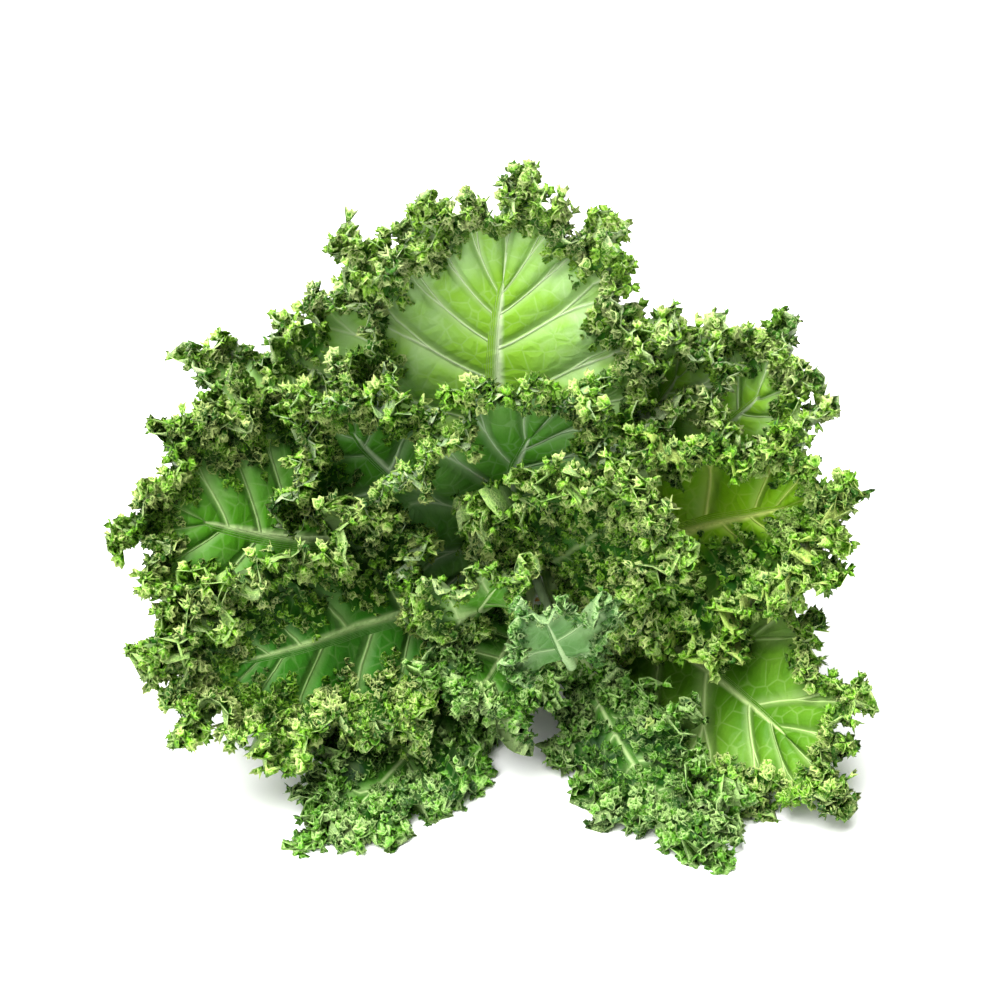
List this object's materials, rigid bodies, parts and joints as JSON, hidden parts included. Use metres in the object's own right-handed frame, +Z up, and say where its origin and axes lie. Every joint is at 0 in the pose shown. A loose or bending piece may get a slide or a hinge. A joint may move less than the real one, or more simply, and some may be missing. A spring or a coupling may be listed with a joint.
{
  "type": "kale bunch",
  "caption": "Banded bunch of curly kale lying on its side: broad ruffled leaves fan out from stalks held together by one band.",
  "frame": {"origin": "middle of the bunch's footprint, on the surface it lies on", "axes": "+Z up; +Y towards the cut stalk ends, so the leaf tips fan out towards -Y; +X across the fan"},
  "size_m": [0.3472, 0.2972, 0.2681],
  "materials": {
    "leaf": "fresh leaf with a thin waxy bloom, satin, light shows through",
    "young_leaf": "young greyish leaf with more bloom, matte",
    "band": "plain tan rubber, matte"
  },
  "bodies": {
    "root": {"leaf_small_front": "young_leaf", "leaf_small_left": "young_leaf", "leaf_front_middle": "leaf", "leaf_front_right": "leaf", "leaf_heart_right": "leaf", "leaf_heart": "leaf", "leaf_left_low": "leaf", "leaf_front_left": "leaf", "leaf_heart_left": "leaf", "leaf_right": "leaf", "leaf_right_low": "leaf", "leaf_top": "leaf", "leaf_top_right": "leaf", "leaf_right_high": "leaf", "leaf_left": "leaf", "leaf_top_left": "leaf", "leaf_left_high": "leaf", "tie_band": "band"}
  },
  "joints": []
}
